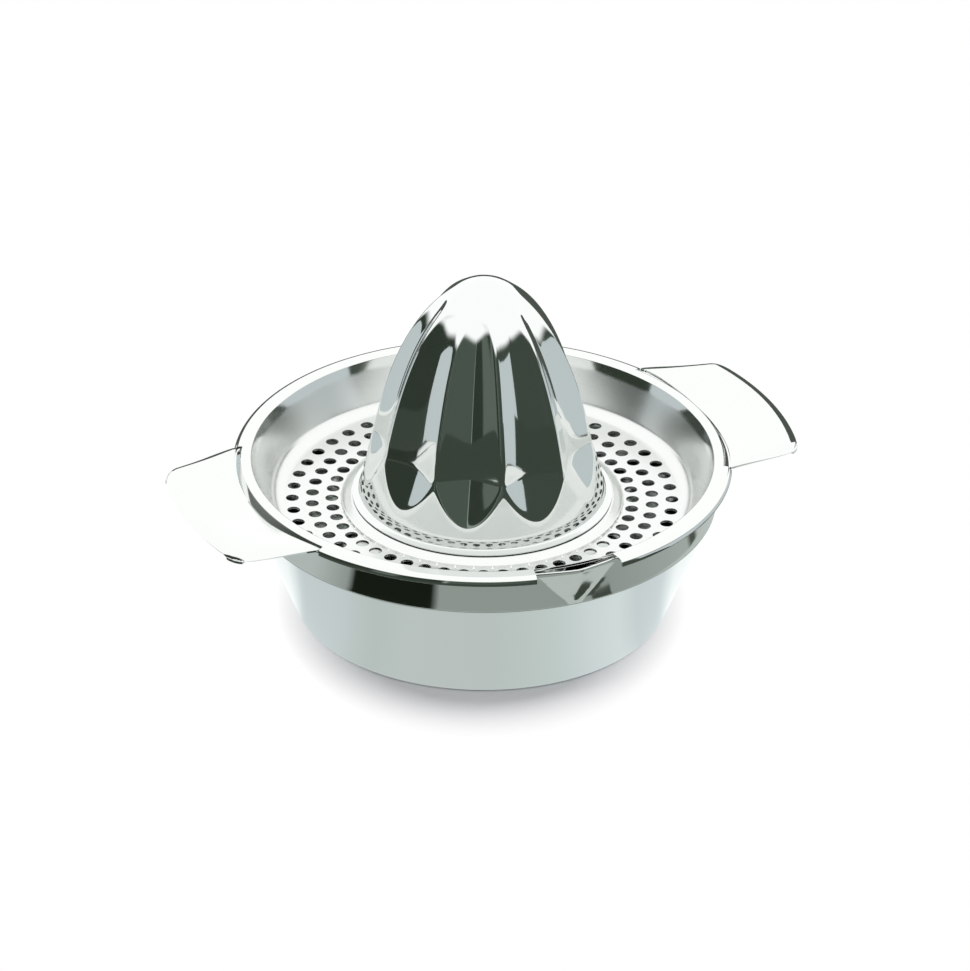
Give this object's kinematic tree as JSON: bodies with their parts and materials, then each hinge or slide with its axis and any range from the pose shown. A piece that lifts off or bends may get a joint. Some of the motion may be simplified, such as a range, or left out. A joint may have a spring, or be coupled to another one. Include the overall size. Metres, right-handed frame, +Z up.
{
  "type": "hand citrus juicer",
  "caption": "Hand citrus juicer: a fluted dome on a perforated strainer with two side wings, which lifts off a conical bowl with a pouring beak.",
  "frame": {"origin": "middle of the flat face that the bowl stands on", "axes": "+Z up, wings along X, beak towards -Y"},
  "size_m": [0.192, 0.1492, 0.1095],
  "materials": {
    "bowl_steel": "polished stainless sheet",
    "strainer_steel": "polished stainless sheet",
    "reamer_steel": "mirror-polished stainless sheet",
    "wing_steel": "polished stainless sheet"
  },
  "bodies": {
    "bowl_body": {"bowl": "bowl_steel"},
    "strainer_body": {"strainer": "strainer_steel", "reamer": "reamer_steel", "handle_left": "wing_steel", "handle_right": "wing_steel"}
  },
  "joints": [
    {"name": "strainer_lift", "type": "slide", "parent": "bowl_body", "child": "strainer_body", "axis": [0, 0, 1], "range_m": [0, 0.08]}
  ]
}
